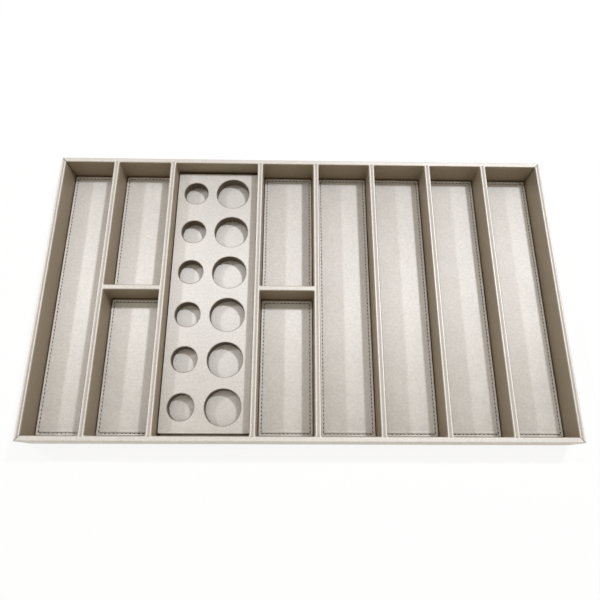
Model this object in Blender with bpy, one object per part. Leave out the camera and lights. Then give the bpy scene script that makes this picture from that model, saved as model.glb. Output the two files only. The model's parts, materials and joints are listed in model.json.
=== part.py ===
"""A minibar drawer tray: a leatherette-wrapped frame of eight bays, with stitched mats and a bottle rack.

Metres, +Z up, the front at -Y. The origin is on the ground under the middle of the tray.
"""

import math

import bmesh
import bpy
from mathutils import Matrix

# Clearances and leatherette
FIT = 0.0003  # air between two pieces that lie against each other
OVERRUN = 0.0050  # how far a cutter reaches past what it cuts
WRAP = 0.0008  # leatherette

# Frame, dividers and floor
TRAY_LENGTH = 0.8300
TRAY_DEPTH = 0.4740
TRAY_HEIGHT = 0.0520  # ground to the crests of the rim
WALL_BOARD = 0.0063  # core of the walls and of the cross dividers
DIVIDER_BOARD = 0.0073  # core of the long dividers
PADDED_TOP = 0.0014  # wrap over a core's top edge, at its crests
ARRIS_RADIUS = 0.0016  # edges of the rim and corners of the frame
CREST_WIDTH = 0.0005  # flat on each crest of a hollowed top
VALLEY_DEPTH_SHARE = 0.5  # how much of the padded top the hollow between the crests takes
BASE_BOARD = 0.0040
FELT = 0.0010
FELT_INSET = 0.0020  # felt's edge inside the tray's outer face

# Mats
MAT_BOARD = 0.0015
MAT_FACE = 0.0012  # a mat cover's face, foam and leatherette together
MAT_EDGE_RADIUS = 0.0010
MAT_SIDE_GAP = 0.0015  # mat to the bay's long sides
MAT_END_GAP = 0.0025  # mat to the bay's ends
STITCH_INSET = 0.0040  # middle of the seam to the mat's edge
THREAD = 0.0006
GROOVE_DEPTH_SHARE = 0.5  # how much of the face the seam's groove takes

# Bottle rack
SMALL_BORE = 0.0410
LARGE_BORE = 0.0560
SMALL_SIDE_MARGIN = 0.0112  # left edge of the rack to the small sockets
LARGE_SIDE_MARGIN = 0.0138  # right edge of the rack to the large sockets
COLUMN_WEB = 0.0151  # between the two columns of sockets
BORE_END_MARGIN = 0.01145  # end of the rack to the first large socket
LEAST_WEB = 0.0140  # the least that is left between two large sockets
RACK_BOARD = 0.0160
RACK_ARRIS = WRAP + FIT  # leatherette bent over the board's sharp edge
RACK_SIDE_GAP = 0.0017
RACK_END_GAP = 0.0048

# Bays, left to right. The bottle rack sets the third, and the others share the rest of the length
BOTTLE_BAY = 3
SPLIT_BAYS = (2, 4)  # those with a cross divider in the middle
BAY_SHARES = {1: 0.820, 2: 0.875, 4: 0.865, 5: 0.870, 6: 0.875, 7: 0.880, 8: 0.875}

# Sizes that follow from those above
WALL = WALL_BOARD + 2 * (WRAP + FIT)
DIVIDER = DIVIDER_BOARD + 2 * (WRAP + FIT)
CLEAR_DEPTH = TRAY_DEPTH - 2 * WALL  # front wall to back wall, between their wraps
CELL_DEPTH = (CLEAR_DEPTH - WALL) / 2  # a half of a split bay, front to back
BASE_FLOOR = FELT + FIT
BAY_FLOOR = BASE_FLOOR + BASE_BOARD + FIT
BOARD_TOP = TRAY_HEIGHT - PADDED_TOP - FIT
VALLEY_DEPTH = PADDED_TOP * VALLEY_DEPTH_SHARE
GROOVE_DEPTH = MAT_FACE * GROOVE_DEPTH_SHARE
MAT_THICKNESS = MAT_BOARD + FIT + MAT_FACE
MAT_TOP = BAY_FLOOR + MAT_THICKNESS
RACK_FLOOR = MAT_TOP + FIT
RACK_HEIGHT = RACK_BOARD + FIT + WRAP
RACK_WIDTH = SMALL_SIDE_MARGIN + SMALL_BORE + COLUMN_WEB + LARGE_BORE + LARGE_SIDE_MARGIN
RACK_DEPTH = CLEAR_DEPTH - 2 * RACK_END_GAP
BOTTLE_BAY_WIDTH = RACK_WIDTH + 2 * RACK_SIDE_GAP
SHARED_LENGTH = TRAY_LENGTH - 2 * WALL - len(BAY_SHARES) * DIVIDER - BOTTLE_BAY_WIDTH

# How finely the round shapes are cut
ARRIS_STEPS = 4
VALLEY_STEPS = 6
EDGE_STEPS = 3
BORE_SIDES = 40
THREAD_RESOLUTION = 1
SMOOTH_ANGLE = math.radians(40)
CORNERS = ((1, 1), (-1, 1), (-1, -1), (1, -1))  # the four corners of a plan, a quarter turn apart

# Looks: colour, roughness
LEATHERETTE = ((0.715, 0.676, 0.622), 0.50)
RAW_BOARD = ((0.200, 0.140, 0.085), 0.80)
RACK_CORE = ((0.150, 0.120, 0.090), 0.70)
DARK_FELT = ((0.045, 0.040, 0.036), 0.95)
BROWN_THREAD = ((0.030, 0.018, 0.010), 0.65)


# Scene

for old in list(bpy.data.objects):
    bpy.data.objects.remove(old)

PARTS = bpy.data.collections.new("minibar_tray")
CUTTERS = bpy.data.collections.new("cutters")
CORNER_CUTTERS = bpy.data.collections.new("corner_cutters")
bpy.context.scene.collection.children.link(PARTS)
bpy.context.scene.collection.children.link(CUTTERS)
CUTTERS.children.link(CORNER_CUTTERS)


def add_empty(name, place=(0, 0, 0)):
    """A frame that pieces hang from, at a place in the tray."""
    empty = bpy.data.objects.new(name, None)
    empty.location = place
    PARTS.objects.link(empty)
    return empty


def add_piece(name, data, look, parent, place=(0, 0, 0), turn=0):
    """A piece in its own material, at a place and a turn about Z, in degrees, under its parent."""
    piece = bpy.data.objects.new(name, data)
    piece.parent = parent
    piece.location = place
    piece.rotation_euler.z = math.radians(turn)
    colour, roughness = look
    material = bpy.data.materials.new(name)
    material.use_nodes = True
    shader = material.node_tree.nodes["Principled BSDF"]
    shader.inputs["Base Color"].default_value = (*colour, 1)
    shader.inputs["Roughness"].default_value = roughness
    shader.inputs["Metallic"].default_value = 0
    data.materials.append(material)
    PARTS.objects.link(piece)
    return piece


def add_cutter(name, data, collection=CUTTERS, place=(0, 0, 0), turn=0):
    """A shape that others are cut with, which is never part of the tray."""
    cutter = bpy.data.objects.new(name, data)
    cutter.location = place
    cutter.rotation_euler.z = math.radians(turn)
    cutter.hide_render = True
    cutter.display_type = "WIRE"
    collection.objects.link(cutter)
    return cutter


# Shapes


def arc(centre, radius, start, end, steps):
    """Points along an arc between two angles in degrees, both ends included."""
    angles = [math.radians(start + (end - start) * step / steps) for step in range(steps + 1)]
    return [(centre[0] + radius * math.cos(a), centre[1] + radius * math.sin(a)) for a in angles]


def extruded(name, outline, length):
    """A closed mesh: a flat outline in X and Y, as long as said along Z and centred there."""
    curve = bpy.data.curves.new(name, "CURVE")
    curve.dimensions = "2D"
    curve.fill_mode = "BOTH"
    curve.extrude = length / 2
    spline = curve.splines.new("POLY")
    spline.points.add(len(outline) - 1)
    for point, (x, y) in zip(spline.points, outline):
        point.co = (x, y, 0, 1)
    spline.use_cyclic_u = True
    guide = bpy.data.objects.new(name, curve)
    bpy.context.scene.collection.objects.link(guide)
    graph = bpy.context.evaluated_depsgraph_get()
    mesh = bpy.data.meshes.new_from_object(guide.evaluated_get(graph))
    bpy.data.objects.remove(guide)
    bpy.data.curves.remove(curve)
    work = bmesh.new()
    work.from_mesh(mesh)
    bmesh.ops.remove_doubles(work, verts=work.verts, dist=FIT / 10)
    bmesh.ops.recalc_face_normals(work, faces=work.faces)
    work.to_mesh(mesh)
    work.free()
    return mesh


def box(width, depth, height):
    """A box that stands on z = 0, centred in X and Y, to be worked on."""
    work = bmesh.new()
    sizes = Matrix.Diagonal((width, depth, height, 1))
    bmesh.ops.create_cube(work, size=1, matrix=Matrix.Translation((0, 0, height / 2)) @ sizes)
    return work


def finished(name, work):
    """The mesh of a worked shape, smooth where its faces meet at a shallow angle."""
    mesh = bpy.data.meshes.new(name)
    work.to_mesh(mesh)
    work.free()
    mesh.shade_smooth()
    mesh.set_sharp_from_angle(angle=SMOOTH_ANGLE)
    return mesh


def facing(work, direction):
    """The face of a box that looks up, for 1, or down, for -1."""
    return max(work.faces, key=lambda face: direction * face.normal.z)


def inset(work, face, width):
    """Leaves a border of one width round a face, and keeps the face inside it."""
    bmesh.ops.inset_region(work, faces=[face], thickness=width, use_even_offset=True, use_boundary=True)


def push(work, face, rise):
    """Moves a face up or down, with new walls behind it, and gives it back."""
    pushed = bmesh.ops.extrude_discrete_faces(work, faces=[face])["faces"][0]
    bmesh.ops.translate(work, vec=(0, 0, rise), verts=pushed.verts)
    return pushed


def cover_box(width, depth, height, face_thickness, radius, grooved):
    """An upside-down tray of leatherette, its edges rounded, with or without a groove for its seam."""
    work = box(width, depth, height)
    work.normal_update()
    top = facing(work, 1)
    underside = facing(work, -1)
    rounded = [edge for edge in work.edges if edge not in list(underside.edges)]
    inset(work, underside, WRAP)
    push(work, underside, height - face_thickness)
    if grooved:
        groove_width = THREAD + 2 * FIT
        inset(work, top, STITCH_INSET - groove_width / 2)
        groove = push(work, top, -GROOVE_DEPTH)
        inset(work, groove, groove_width)
        push(work, groove, GROOVE_DEPTH)
    bmesh.ops.bevel(work, geom=rounded, offset=radius, segments=EDGE_STEPS, profile=0.5, affect="EDGES")
    return work


def cut(piece, operand):
    """Takes an object or a collection of objects out of a piece."""
    boolean = piece.modifiers.new("cut", "BOOLEAN")
    boolean.operation = "DIFFERENCE"
    boolean.solver = "EXACT"
    if isinstance(operand, bpy.types.Collection):
        boolean.operand_type = "COLLECTION"
        boolean.collection = operand
    else:
        boolean.object = operand


# Rails: an outline across the rail in X and up in Y, its outer face at -X


def rail_outline(thickness, outer_foot, inner_foot, hollowed):
    """The wrap of a wall or divider: two legs under a top that is flat, or hollowed between two crests."""
    half = thickness / 2
    shoulder = half - ARRIS_RADIUS
    valley = shoulder - CREST_WIDTH
    ceiling = TRAY_HEIGHT - PADDED_TOP
    outline = [(half, inner_foot)]
    outline += arc((shoulder, TRAY_HEIGHT - ARRIS_RADIUS), ARRIS_RADIUS, 0, 90, ARRIS_STEPS)
    if hollowed:
        for step in range(VALLEY_STEPS + 1):
            across = 1 - 2 * step / VALLEY_STEPS
            dip = VALLEY_DEPTH * (1 + math.cos(math.pi * across)) / 2
            outline.append((valley * across, TRAY_HEIGHT - dip))
    outline += arc((-shoulder, TRAY_HEIGHT - ARRIS_RADIUS), ARRIS_RADIUS, 90, 180, ARRIS_STEPS)
    outline += [
        (-half, outer_foot),
        (WRAP - half, outer_foot),
        (WRAP - half, ceiling),
        (half - WRAP, ceiling),
        (half - WRAP, inner_foot),
    ]
    return outline


def mitre(mesh, thickness):
    """Cuts both ends of a rail back at 45 degrees, from its full length at the outer face."""
    for vertex in mesh.vertices:
        from_outside = vertex.co.x + thickness / 2
        cut_back = from_outside + FIT / math.sqrt(2)
        vertex.co.z -= math.copysign(cut_back, vertex.co.z)


def add_rail(name, parent, thickness, length, place, turn, outer_foot=BAY_FLOOR, mitred=False):
    """The wrap of one wall or divider. At a turn of 0 it runs along Y, and its outer face looks to -X.

    The tops that run front to back are hollowed along their middle, and those that run across are flat.
    """
    hollowed = turn in (0, 180)
    mesh = extruded(name, rail_outline(thickness, outer_foot, BAY_FLOOR, hollowed), length)
    if mitred:
        mitre(mesh, thickness)
    mesh.transform(Matrix.Rotation(math.radians(90), 4, "X"))
    mesh.shade_smooth()
    mesh.set_sharp_from_angle(angle=SMOOTH_ANGLE)
    return add_piece(name, mesh, LEATHERETTE, parent, place, turn)


def add_board(name, parent, look, width, depth, height, place):
    """A plain board that stands on its place, centred there in X and Y."""
    return add_piece(name, finished(name, box(width, depth, height)), look, parent, place)


# The fixed tray


def add_floor(tray):
    """The felt that meets the drawer, and the base board on it, inside the walls' wraps."""
    add_board(
        "backing_felt",
        tray,
        DARK_FELT,
        TRAY_LENGTH - 2 * FELT_INSET,
        TRAY_DEPTH - 2 * FELT_INSET,
        FELT,
        (0, 0, 0),
    )
    margin = WRAP + FIT
    add_board(
        "base_board",
        tray,
        RAW_BOARD,
        TRAY_LENGTH - 2 * margin,
        TRAY_DEPTH - 2 * margin,
        BASE_BOARD,
        (0, 0, BASE_FLOOR),
    )


def add_corner_cutters():
    """The waste outside each rounded corner of the frame. Its flats touch the arc from outside."""
    radius = ARRIS_RADIUS / math.cos(math.radians(45 / ARRIS_STEPS))
    outline = arc((-ARRIS_RADIUS, -ARRIS_RADIUS), radius, 0, 90, ARRIS_STEPS)
    outline += [(-ARRIS_RADIUS, OVERRUN), (OVERRUN, OVERRUN), (OVERRUN, -ARRIS_RADIUS)]
    for count, (side, end) in enumerate(CORNERS):
        name = f"corner_cutter_{count + 1}"
        waste = extruded(name, outline, TRAY_HEIGHT + 2 * OVERRUN)
        place = (side * TRAY_LENGTH / 2, end * TRAY_DEPTH / 2, TRAY_HEIGHT / 2)
        add_cutter(name, waste, CORNER_CUTTERS, place, 90 * count)


def add_walls(tray):
    """Four walls: boards butted at the corners, and wraps mitred there, down to the base's underside."""
    add_corner_cutters()
    board_height = BOARD_TOP - BAY_FLOOR
    margin = WRAP + FIT
    middle_x = (TRAY_LENGTH - WALL) / 2
    middle_y = (TRAY_DEPTH - WALL) / 2
    side_board = TRAY_DEPTH - 2 * (margin + WALL_BOARD + FIT)
    walls = (
        ("front", 90, TRAY_LENGTH, (0, -middle_y)),
        ("back", 270, TRAY_LENGTH, (0, middle_y)),
        ("left", 0, TRAY_DEPTH, (-middle_x, 0)),
        ("right", 180, TRAY_DEPTH, (middle_x, 0)),
    )
    for side, turn, length, (x, y) in walls:
        if side in ("front", "back"):
            board_sizes = (TRAY_LENGTH - 2 * margin, WALL_BOARD, board_height)
        else:
            board_sizes = (WALL_BOARD, side_board, board_height)
        add_board(f"{side}_wall_board", tray, RAW_BOARD, *board_sizes, (x, y, BAY_FLOOR))
        cover = add_rail(
            f"{side}_wall_cover", tray, WALL, length, (x, y, 0), turn, outer_foot=BASE_FLOOR, mitred=True
        )
        cut(cover, CORNER_CUTTERS)


def bay_spans():
    """The two sides of each bay along X, left to right."""
    spans = []
    left = WALL - TRAY_LENGTH / 2
    for bay in range(1, len(BAY_SHARES) + 2):
        width = BOTTLE_BAY_WIDTH
        if bay != BOTTLE_BAY:
            width = SHARED_LENGTH * BAY_SHARES[bay] / sum(BAY_SHARES.values())
        spans.append((left, left + width))
        left += width + DIVIDER
    return spans


def add_dividers(tray):
    """A long divider between each two bays, and a cross divider in each split bay."""
    board_height = BOARD_TOP - BAY_FLOOR
    length = CLEAR_DEPTH - 2 * FIT
    spans = bay_spans()
    for count, (_, bay_end) in enumerate(spans[:-1], 1):
        name = f"divider_{count}"
        middle = bay_end + DIVIDER / 2
        sizes = (DIVIDER_BOARD, length, board_height)
        add_board(f"{name}_board", tray, RAW_BOARD, *sizes, (middle, 0, BAY_FLOOR))
        add_rail(f"{name}_cover", tray, DIVIDER, length, (middle, 0, 0), 0)
    for count, bay in enumerate(SPLIT_BAYS, 1):
        name = f"cross_divider_{count}"
        left, right = spans[bay - 1]
        middle = (left + right) / 2
        length = right - left - 2 * FIT
        sizes = (length, WALL_BOARD, board_height)
        add_board(f"{name}_board", tray, RAW_BOARD, *sizes, (middle, 0, BAY_FLOOR))
        add_rail(f"{name}_cover", tray, WALL, length, (middle, 0, 0), 90)


# Mats and the bottle rack, each on a frame that lifts straight up


def seam_curve(name, width, depth):
    """The thread of a mat's seam, one closed loop a little inside the mat's edge."""
    curve = bpy.data.curves.new(name, "CURVE")
    curve.dimensions = "3D"
    curve.bevel_depth = THREAD / 2
    curve.bevel_resolution = THREAD_RESOLUTION
    spline = curve.splines.new("POLY")
    spline.points.add(len(CORNERS) - 1)
    for point, (side, end) in zip(spline.points, CORNERS):
        point.co = (side * (width / 2 - STITCH_INSET), end * (depth / 2 - STITCH_INSET), 0, 1)
    spline.use_cyclic_u = True
    return curve


def add_mat(name, parent, width, depth, grooved):
    """A stiffening board under a leatherette cover, with the seam's thread in the cover's groove."""
    margin = WRAP + FIT
    cover = cover_box(width, depth, MAT_THICKNESS, MAT_FACE, MAT_EDGE_RADIUS, grooved)
    add_piece(f"{name}_cover", finished(f"{name}_cover", cover), LEATHERETTE, parent)
    sizes = (width - 2 * margin, depth - 2 * margin, MAT_BOARD)
    add_board(f"{name}_board", parent, RAW_BOARD, *sizes, (0, 0, 0))
    if grooved:
        seam = seam_curve(f"{name}_thread", width, depth)
        height = MAT_THICKNESS - GROOVE_DEPTH + FIT + THREAD / 2
        add_piece(f"{name}_thread", seam, BROWN_THREAD, parent, (0, 0, height))


def add_mats(tray):
    """One mat a bay, or one a half in a split bay. The one under the rack is held down by it."""
    for bay, (left, right) in enumerate(bay_spans(), 1):
        middle = (left + right) / 2
        cells = {f"mat_{bay}": (0, CLEAR_DEPTH)}
        if bay in SPLIT_BAYS:
            offset = (WALL + CELL_DEPTH) / 2
            cells = {f"mat_{bay}_rear": (offset, CELL_DEPTH), f"mat_{bay}_front": (-offset, CELL_DEPTH)}
        for name, (y, cell_depth) in cells.items():
            frame = add_empty(f"{name}_lift", (middle, y, BAY_FLOOR))
            frame.parent = tray
            width = right - left - 2 * MAT_SIDE_GAP
            add_mat(name, frame, width, cell_depth - 2 * MAT_END_GAP, bay != BOTTLE_BAY)


def bore_places():
    """The middle and the width of every socket, about the middle of the rack."""
    rows = int((RACK_DEPTH - 2 * BORE_END_MARGIN + LEAST_WEB) / (LARGE_BORE + LEAST_WEB))
    first = BORE_END_MARGIN + LARGE_BORE / 2 - RACK_DEPTH / 2
    pitch = -2 * first / (rows - 1)
    small_x = SMALL_SIDE_MARGIN + SMALL_BORE / 2 - RACK_WIDTH / 2
    large_x = RACK_WIDTH / 2 - LARGE_SIDE_MARGIN - LARGE_BORE / 2
    columns = ((small_x, SMALL_BORE), (large_x, LARGE_BORE))
    return [(x, first + row * pitch, bore) for x, bore in columns for row in range(rows)]


def add_bore_cutter(middle):
    """The sockets of the rack, one cylinder each."""
    work = bmesh.new()
    for x, y, bore in bore_places():
        bmesh.ops.create_cone(
            work,
            cap_ends=True,
            segments=BORE_SIDES,
            radius1=bore / 2,
            radius2=bore / 2,
            depth=RACK_HEIGHT + 2 * OVERRUN,
            matrix=Matrix.Translation((x, y, RACK_HEIGHT / 2)),
        )
    return add_cutter("bore_cutter", finished("bore_cutter", work), place=(middle, 0, RACK_FLOOR))


def add_bottle_rack(tray):
    """A thick bored board under a leatherette cover with the same sockets."""
    left, right = bay_spans()[BOTTLE_BAY - 1]
    middle = (left + right) / 2
    frame = add_empty("bottle_insert_lift", (middle, 0, RACK_FLOOR))
    frame.parent = tray
    bores = add_bore_cutter(middle)
    margin = WRAP + FIT
    sizes = (RACK_WIDTH - 2 * margin, RACK_DEPTH - 2 * margin, RACK_BOARD)
    board = add_board("bottle_insert_board", frame, RACK_CORE, *sizes, (0, 0, 0))
    cover_work = cover_box(RACK_WIDTH, RACK_DEPTH, RACK_HEIGHT, WRAP, RACK_ARRIS, False)
    cover_mesh = finished("bottle_insert_cover", cover_work)
    cover = add_piece("bottle_insert_cover", cover_mesh, LEATHERETTE, frame)
    for piece in (board, cover):
        cut(piece, bores)


TRAY = add_empty("tray")
add_floor(TRAY)
add_walls(TRAY)
add_dividers(TRAY)
add_mats(TRAY)
add_bottle_rack(TRAY)
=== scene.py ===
"""Looks of the minibar tray: leatherette wraps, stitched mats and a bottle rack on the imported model.

Metres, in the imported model's frame: +Z up, the front at -Y. Every fine piece stands in the place of
a CAD node.
"""

import json
import math

import bmesh
import bpy
from mathutils import Matrix, Vector, noise

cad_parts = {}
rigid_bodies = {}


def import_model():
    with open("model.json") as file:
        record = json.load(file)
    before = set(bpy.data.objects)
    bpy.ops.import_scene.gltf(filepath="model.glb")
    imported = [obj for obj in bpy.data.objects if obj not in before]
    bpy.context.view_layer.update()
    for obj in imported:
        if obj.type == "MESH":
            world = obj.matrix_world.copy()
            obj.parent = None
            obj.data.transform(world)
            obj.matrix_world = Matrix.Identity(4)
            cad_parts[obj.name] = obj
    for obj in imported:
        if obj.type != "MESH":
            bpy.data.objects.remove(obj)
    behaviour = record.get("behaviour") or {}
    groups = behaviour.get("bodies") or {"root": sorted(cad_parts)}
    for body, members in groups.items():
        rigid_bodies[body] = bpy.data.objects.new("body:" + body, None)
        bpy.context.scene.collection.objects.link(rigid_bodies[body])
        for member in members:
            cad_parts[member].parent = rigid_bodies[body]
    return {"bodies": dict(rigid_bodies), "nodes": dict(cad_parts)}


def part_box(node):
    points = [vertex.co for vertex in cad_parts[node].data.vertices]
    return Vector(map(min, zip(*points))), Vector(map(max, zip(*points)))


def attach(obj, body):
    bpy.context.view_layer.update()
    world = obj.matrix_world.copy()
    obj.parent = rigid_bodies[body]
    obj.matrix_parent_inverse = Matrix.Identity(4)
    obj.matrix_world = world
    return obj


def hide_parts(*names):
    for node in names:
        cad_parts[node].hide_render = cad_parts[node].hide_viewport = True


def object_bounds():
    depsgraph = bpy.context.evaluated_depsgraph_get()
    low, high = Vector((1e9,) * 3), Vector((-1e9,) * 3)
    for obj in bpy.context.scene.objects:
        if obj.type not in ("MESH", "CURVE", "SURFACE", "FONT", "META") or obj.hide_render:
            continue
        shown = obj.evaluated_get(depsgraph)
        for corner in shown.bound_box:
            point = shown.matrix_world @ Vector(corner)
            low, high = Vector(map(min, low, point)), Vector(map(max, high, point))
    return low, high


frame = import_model()
CAD_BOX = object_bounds()
RACK_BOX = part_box("bottle_insert_cover")

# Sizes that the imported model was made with
RIM = CAD_BOX[1].z
FIT = 0.0003
WRAP = 0.0008
BASE_FLOOR = 0.0013
BAY_FLOOR = 0.0056
PADDED_TOP = 0.0014
ARRIS = 0.0016
CREST_WIDTH = 0.0005
VALLEY_DEPTH = 0.0007
MAT_FACE = 0.0012
STITCH_INSET = 0.0040
SMALL_BORE = 0.0410
LARGE_BORE = 0.0560
SMALL_SIDE_MARGIN = 0.0112
LARGE_SIDE_MARGIN = 0.0138
BORE_END_MARGIN = 0.01145
SOCKET_ROWS = 6

# Wraps of the walls and dividers
TOP_UNDERSIDE = RIM - PADDED_TOP  # underside of a wrap over its core's top edge
SEAM_GAP = 0.00012  # air left where two wraps meet
FILLET = 0.0020  # how wide a wrap turns out where it meets a wall
CORNER_RADIUS = 0.0018  # upright corners of the frame
HEM_FLOOR = 0.0004  # the outer leatherette turns under the base down here
HEM_RADIUS = 0.0006
HEM_WIDTH = 0.0017
HEM_TOP = BASE_FLOOR - 0.00005
STATION = 0.0060  # spacing of the sections along a wrap
LEG_STEPS = 12
ARRIS_STEPS = 8
LIP_STEPS = 4  # round the hem, and also round the lips of the sockets and the edge of the felt
TOP_STEPS = 8
VALLEY_STEPS = 16
END_STEPS = 8

# Wear with painted highlight, and grime with painted shade, on the wraps, from 0 to 1, and how far they
# reach
CREST_FADE = 3.0  # a crest's wear and painted highlight fade over one part in this many of its rounded edge
FLAT_WEAR_AND_HIGHLIGHT = 0.20  # wear and painted highlight over a flat top, fading over its rounded edges, against 1 on a crest
SIDE_SHADE = 0.42  # painted shade on the upright sides, except the outer faces of the tray
VALLEY_SHADE = 0.30  # painted shade at the bottom of a hollowed top
FLAT_SHADE = 0.06  # the least painted shade anywhere on a wrap with a flat top
FOOT_SHADE = 0.0075  # grime and painted shade in the corner between a wrap and the floor die out this far up
GAP_SHADE = 0.0030  # painted shade in the gap round the rack is full this far under the rack's top
GAP_REACH = 0.0060  # and lies on walls this near to the rack

# How far hand-laid leatherette strays from true, and over what lengths
WAVE_HEIGHT = 0.00007
WAVE_LENGTH = 0.031
RIPPLE_HEIGHT = 0.00002
RIPPLE_LENGTH = 0.0065
WAVE_FADE = 0.010  # the waves die out this near a joint
CUT_EDGE = WRAP / 4  # bevel of a cut edge

# Mats
MAT_CORNER = 0.0022
MAT_EDGE = 0.0011
CORNER_STEPS = 4
STITCH_PITCH = 0.0063
MAT_STATION = STITCH_PITCH / 4
MAT_REST = 0.00015  # the middle of a stitched mat lies this far under the top of its CAD node
SEAM_DEPTH = 0.00032
SEAM_WIDTH = 0.00095
HOLE_DEPTH = 0.00042
HOLE_WIDTH = SEAM_WIDTH * 0.8
# Painted shade in the stitch holes of a seam
HOLE_SHADE = 0.3
SHOULDER_RISE = 0.00013
OUTER_SHOULDER = SEAM_WIDTH * 2  # from the middle of the seam to the middle of its outer shoulder
INNER_SHOULDER = SEAM_WIDTH * 2.4
INNER_SHOULDER_WIDTH = SEAM_WIDTH * 1.5
# Rings of points along a seam, and how many seam widths they lie from its middle
SEAM_RINGS = (-2.4, -1.8, -1.2, -0.7, -0.3, 0.0, 0.3, 0.7, 1.2, 1.8, 2.5, 3.3)
PLAIN_RING = MAT_EDGE + 0.001  # the outermost ring on the face of a mat without a seam
BAND = 0.0085  # from a mat's edge to where its plain middle starts
EDGE_WEAR_AND_HIGHLIGHT = 0.8  # wear and painted highlight on the rounded edges of the mats and the rack
BORDER_WEAR_AND_HIGHLIGHT = 0.35  # and just inside a mat's rounded edge

# Thread
THREAD = 0.00135
STITCH_LENGTH = 0.0034
STITCH_SLANT = 7.0  # degrees
SLANT_STRAY = 4.0  # degrees
STRAY_SCALE = 900.0  # of the noise that sets how far each stitch strays
STITCH_BED = SEAM_DEPTH * 0.75  # how deep in the seam a stitch lies
STITCH_RISE = 0.00016
STITCH_DIVE = 4.0  # how far the ends of a stitch lie under its middle, in rises
STITCH_ARCH = 4  # power that keeps up its height towards its ends
STITCH_TAPER = 0.75  # how much thinner its ends are
STITCH_FULLNESS = 5  # power that keeps up its thickness towards its ends
STITCH_FLATNESS = 0.8  # height over width
STITCH_SIDES = 8
STITCH_RINGS = 8

# Bottle rack
RACK_ARRIS = 0.0012
RACK_CORNER = 0.0016
SOCKET_LIP = 0.0005
CORE_LIP = 0.0001
CELL_STEPS = 24
PLATE_RINGS = (0.06, 0.35, 0.65, 1.0)  # shares of the way from a socket's lip to its cell's edge
LIP_EDGE_AND_SHADE = 0.40  # darkening round a socket's lip and down its wall: the leatherette's dark cut edge, with painted shade

# Felt backing
FELT_CORNER = 0.0060
FELT_CORNER_STEPS = 6
FELT_STEP = 0.0100
FELT_ROUND = 0.0004
FELT_BAND = 0.0040  # from the felt's edge to where its flat middle starts

SMOOTH_ANGLE = math.radians(42)
MERGE = 1e-7  # points this close are one

# Colours, linear
LEATHER_COLOUR = (0.715, 0.676, 0.622)
# Worn leatherette, lighter, with painted highlight where crests and rolled edges catch the light
WEAR_AND_HIGHLIGHT_COLOUR = (0.860, 0.825, 0.785)
GRIME_AND_SHADE_COLOUR = (0.220, 0.155, 0.085)  # what full grime and painted shade let through on upright faces
TOP_GRIME_AND_SHADE_COLOUR = (0.190, 0.158, 0.120)  # and on faces turned up, a more neutral tone
# The rack's core board, darker than bare board: painted shade in the sockets
RACK_CORE_COLOUR_AND_SHADE = (0.150, 0.120, 0.090)
# The core boards, darker than bare board: painted shade in the gaps where they show
BOARD_COLOUR_AND_SHADE = (0.200, 0.140, 0.085)
FELT_COLOUR = (0.045, 0.040, 0.036)
THREAD_COLOUR = (0.030, 0.018, 0.010)

# Leatherette. Tones are shares of its colour, and a bump is a strength and a depth
FRAME_FINISH = (0.50, 0.25, 0.0)  # roughness, pearl, brushing
PADDED_FINISH = (0.75, 0.58, 0.96)  # the same for the mats and the rack
NAP = (0.0, 1.0, 0.05)  # the way that the mats and the rack are brushed
GRAIN = 0.00085
CREASE = 0.0032
PORE = 0.00028
MOTTLE = 0.021
CLOUD = 0.120
PEBBLE_SMOOTHNESS = 0.6
PEBBLE_HEIGHT = 0.5  # relief at the middle of a pebble
CREASE_SHARE = 0.35  # of the relief
PORE_SHARE = 0.12
GRAIN_BUMP = (0.42, 0.00009)
BROAD_TONES = (0.975, 1.025)  # of clouds and mottles
CREASE_TONES = (0.93, 1.07)
PEBBLE_TONES = (1.03, 0.93)  # from the middle of a pebble to the pits round it
PEBBLE_RANGE = (0.1, 0.8)
NOISE_RANGE = (0.3, 0.7)  # where nearly all values of a noise texture lie
FIBRE_RANGE = (0.35, 0.65)  # the same, cut closer for fibres
WEAR_AND_HIGHLIGHT_SHARE = 0.8  # how much of the colour of wear and painted highlight shows where it is full
SMOOTHER = 0.05  # how far the roughness strays down
ROUGHER = 0.06  # and up
WORN_POLISH = 0.07  # roughness lost where the wear is full
HOLLOW_DULLNESS = 0.15  # roughness gained where the grime and painted shade are full
UPWARD_RANGE = (0.3, 0.8)  # the normal's Z on faces that count as upright, and as turned up

# Boards, felt and thread
RACK_CORE_FINISH = (0.70, 0.0016)  # roughness, length of a fibre
BOARD_FINISH = (0.80, 0.0022)
FIBRE_STRETCH = (1.0, 1.0, 3.0)  # finer upwards, as pressed board lies in layers
SPECKS_PER_FIBRE = 3
BOARD_TONES = (0.72, 1.18)
BOARD_STRAY = 0.06  # of the roughness
BOARD_BUMP = (0.5, 0.00008)
FELT_FIBRE = 0.0012
FELT_CLUMP = 0.011
FELT_TONES = (0.55, 1.7)
CLUMP_TONES = (0.85, 1.15)
FELT_ROUGHNESS = (0.86, 1.0)
FELT_SHEEN = 0.25
FELT_BUMP = (0.8, 0.0003)
TWIST_SCALE = 520.0
TWIST_DISTORTION = 0.6
THREAD_TONES = (0.6, 1.5)
THREAD_ROUGHNESS = (0.62, 0.48)  # between the plies and on them
THREAD_SPECULAR = 0.15
THREAD_BUMP = (0.6, 0.00012)

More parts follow.
